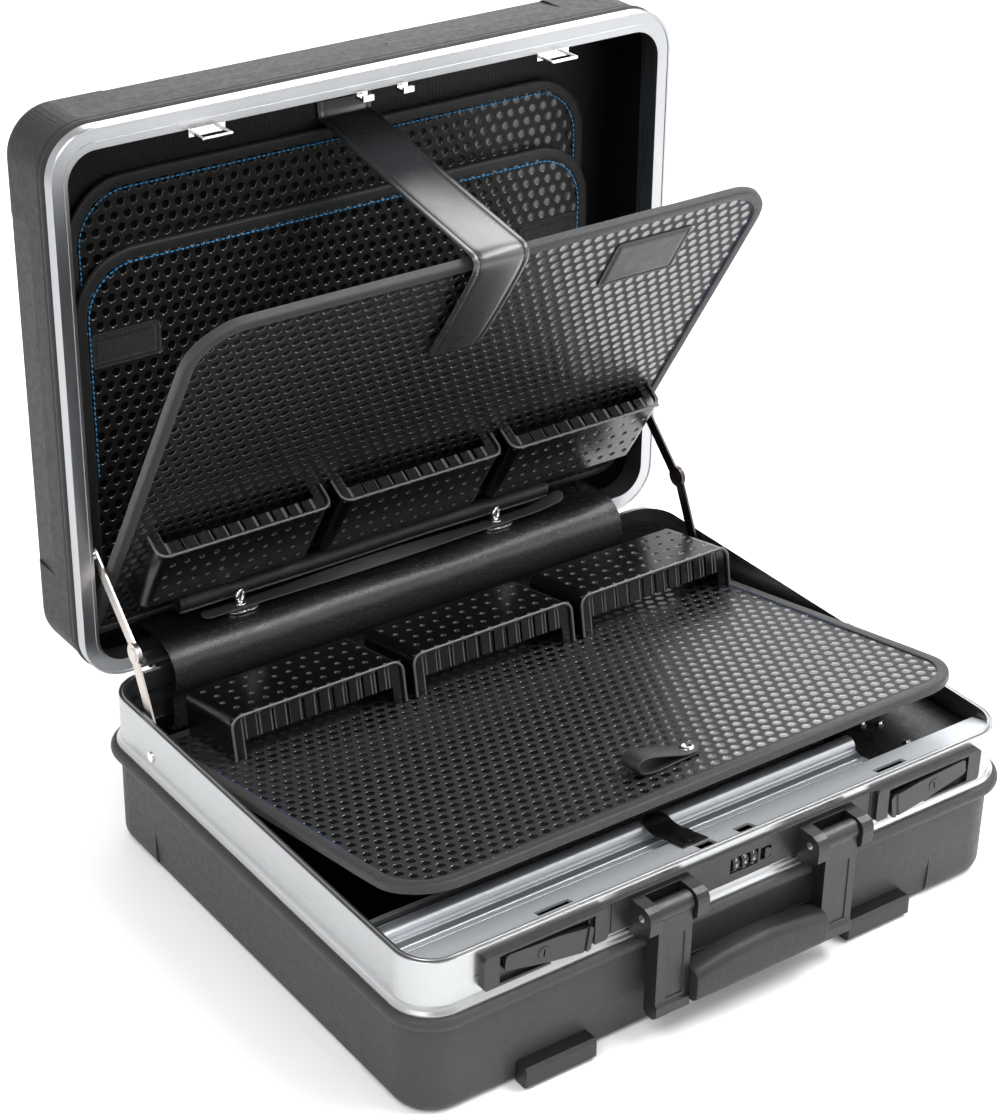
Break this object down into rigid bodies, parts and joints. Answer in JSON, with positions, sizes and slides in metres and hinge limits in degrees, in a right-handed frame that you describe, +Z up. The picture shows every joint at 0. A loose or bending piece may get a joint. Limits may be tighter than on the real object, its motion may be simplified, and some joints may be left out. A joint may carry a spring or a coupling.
{
  "type": "tool case",
  "caption": "Hard shell tool case with an aluminium frame, hinged lid on folding stays, tilting tool boards with holders, lever latches, number lock and carry handle",
  "frame": {"origin": "on the ground under the middle of the base", "axes": "X to the right along the front, Y from the front to the hinges, Z up; the lid stands open at rest"},
  "size_m": [0.4806, 0.4823, 0.4906],
  "materials": {
    "case_shell": "finely grained dark grey ABS, satin on its bead",
    "frame": "satin anodised extrusion with polished edges",
    "rail": "bright rolled aluminium",
    "steel": "bright nickel plated steel",
    "dark_steel": "black lacquered steel",
    "stay_steel": "zinc plated steel with a warm tint",
    "fitting": "fine grained black nylon",
    "board": "dimpled black panel",
    "binding": "soft rubbed edge binding",
    "leather": "smooth black leather",
    "fabric": "black loop fabric",
    "grip": "soft black foam",
    "key": "dark nickel",
    "wheel": "polished metal with dark digits",
    "core_steel": "grey lacquer"
  },
  "bodies": {
    "base": {"base_shell": "case_shell", "base_frame": "frame", "front_rail": "rail", "front_feet": "fitting", "lock_strip": "fitting", "lock_works": "core_steel", "handle_brackets": "fitting", "handle_pins": "steel", "hinge_leaves_base": "dark_steel", "hinge_pins": "steel", "stay_rivets_base": "steel", "hinge_cover_base": "leather", "base_board_hinge": "dark_steel", "divider": "rail", "corner_box": "fitting", "base_studs": "steel", "divider_tab": "leather"},
    "lid": {"lid_shell": "case_shell", "lid_frame": "frame", "wire_loops": "steel", "lid_hooks": "steel", "front_pocket": "board", "rear_pocket": "board", "pocket_tabs": "fabric", "strap_anchor": "leather", "holding_strap": "leather", "hinge_leaves_lid": "dark_steel", "stay_rivets_lid": "steel", "lid_board_hinge": "dark_steel", "flap_handle": "leather", "turn_plates": "steel", "hinge_cover_lid": "leather"},
    "lid_board": {"lid_board": "board", "lid_board_binding": "binding", "lid_holders": "fitting", "lid_board_knuckles": "dark_steel", "lid_board_patch": "fabric", "strap_clip": "leather"},
    "base_board": {"base_board": "board", "base_board_binding": "binding", "base_holders": "fitting", "base_board_knuckles": "dark_steel", "pull_loop": "leather", "snap_studs": "steel"},
    "stay_base_left": {"stay_base_arm_left": "stay_steel"},
    "stay_base_right": {"stay_base_arm_right": "dark_steel"},
    "stay_lid_left": {"stay_lid_arm_left": "stay_steel"},
    "stay_lid_right": {"stay_lid_arm_right": "dark_steel"},
    "latch_left": {"latch_lever_left": "fitting"},
    "latch_right": {"latch_lever_right": "fitting"},
    "key_left": {"key_core_left": "key"},
    "key_right": {"key_core_right": "key"},
    "wheel_1": {"number_wheel_1": "wheel"},
    "wheel_2": {"number_wheel_2": "wheel"},
    "wheel_3": {"number_wheel_3": "wheel"},
    "release": {"release_slide": "fitting"},
    "handle": {"carry_handle": "fitting", "handle_grip": "grip"},
    "turn_left": {"turn_button_left": "steel"},
    "turn_right": {"turn_button_right": "steel"}
  },
  "joints": [
    {"name": "lid_hinge", "type": "hinge", "parent": "base", "child": "lid", "pos_m": [0, 0.1918, 0.1057], "axis": [1, 0, 0], "range_deg": [0, 90.6]},
    {"name": "lid_board_hinge", "type": "hinge", "parent": "lid", "child": "lid_board", "pos_m": [0, 0.23524, 0.11905], "axis": [1, 0, 0], "range_deg": [-30.95, 0], "deforming": ["holding_strap"]},
    {"name": "base_board_hinge", "type": "hinge", "parent": "base", "child": "base_board", "pos_m": [0, 0.15, 0.0805], "axis": [1, 0, 0], "range_deg": [0, 5]},
    {"name": "stay_base_left", "type": "hinge", "parent": "base", "child": "stay_base_left", "pos_m": [-0.2263, 0.125, 0.088], "axis": [1, 0, 0], "range_deg": [0, 145.08]},
    {"name": "stay_lid_left", "type": "hinge", "parent": "lid", "child": "stay_lid_left", "pos_m": [-0.2245, 0.20557, 0.19856], "axis": [1, 0, 0], "range_deg": [-71.85, 0]},
    {"name": "stay_base_right", "type": "hinge", "parent": "base", "child": "stay_base_right", "pos_m": [0.2263, 0.125, 0.088], "axis": [1, 0, 0], "range_deg": [0, 145.08]},
    {"name": "stay_lid_right", "type": "hinge", "parent": "lid", "child": "stay_lid_right", "pos_m": [0.2245, 0.20557, 0.19856], "axis": [1, 0, 0], "range_deg": [-71.85, 0]},
    {"name": "latch_left", "type": "hinge", "parent": "base", "child": "latch_left", "pos_m": [-0.149, -0.1884, 0.0955], "axis": [0, 1, 0], "range_deg": [-8, 0]},
    {"name": "key_left", "type": "hinge", "parent": "latch_left", "child": "key_left", "pos_m": [-0.149, -0.1914, 0.0955], "axis": [0, 1, 0], "range_deg": [0, 90]},
    {"name": "latch_right", "type": "hinge", "parent": "base", "child": "latch_right", "pos_m": [0.161, -0.1884, 0.0955], "axis": [0, 1, 0], "range_deg": [0, 8]},
    {"name": "key_right", "type": "hinge", "parent": "latch_right", "child": "key_right", "pos_m": [0.161, -0.1914, 0.0955], "axis": [0, 1, 0], "range_deg": [0, 90]},
    {"name": "wheel_1", "type": "hinge", "parent": "base", "child": "wheel_1", "pos_m": [-0.001, -0.1822, 0.0955], "axis": [1, 0, 0], "continuous": true},
    {"name": "wheel_2", "type": "hinge", "parent": "base", "child": "wheel_2", "pos_m": [0.006, -0.1822, 0.0955], "axis": [1, 0, 0], "continuous": true},
    {"name": "wheel_3", "type": "hinge", "parent": "base", "child": "wheel_3", "pos_m": [0.013, -0.1822, 0.0955], "axis": [1, 0, 0], "continuous": true},
    {"name": "release_slide", "type": "slide", "parent": "base", "child": "release", "axis": [1, 0, 0], "range_m": [-0.002, 0], "stiffness_N_per_m": 200},
    {"name": "handle_hinge", "type": "hinge", "parent": "base", "child": "handle", "pos_m": [0.006, -0.1994, 0.096], "axis": [-1, 0, 0], "range_deg": [0, 95]},
    {"name": "turn_left", "type": "hinge", "parent": "lid", "child": "turn_left", "pos_m": [-0.121, 0.19805, 0.12969], "axis": [0, 0.0105, 0.9999], "range_deg": [0, 90]},
    {"name": "turn_right", "type": "hinge", "parent": "lid", "child": "turn_right", "pos_m": [0.093, 0.19805, 0.12969], "axis": [0, 0.0105, 0.9999], "range_deg": [0, 90]}
  ],
  "couplings": [
    {"joint": "lid_board_hinge", "follows": "lid_hinge", "ratio": -0.341},
    {"joint": "stay_base_left", "follows": "lid_hinge", "ratio": 1.6002},
    {"joint": "stay_base_right", "follows": "lid_hinge", "ratio": 1.6002},
    {"joint": "stay_lid_left", "follows": "lid_hinge", "ratio": -0.79193},
    {"joint": "stay_lid_right", "follows": "lid_hinge", "ratio": -0.79193}
  ]
}
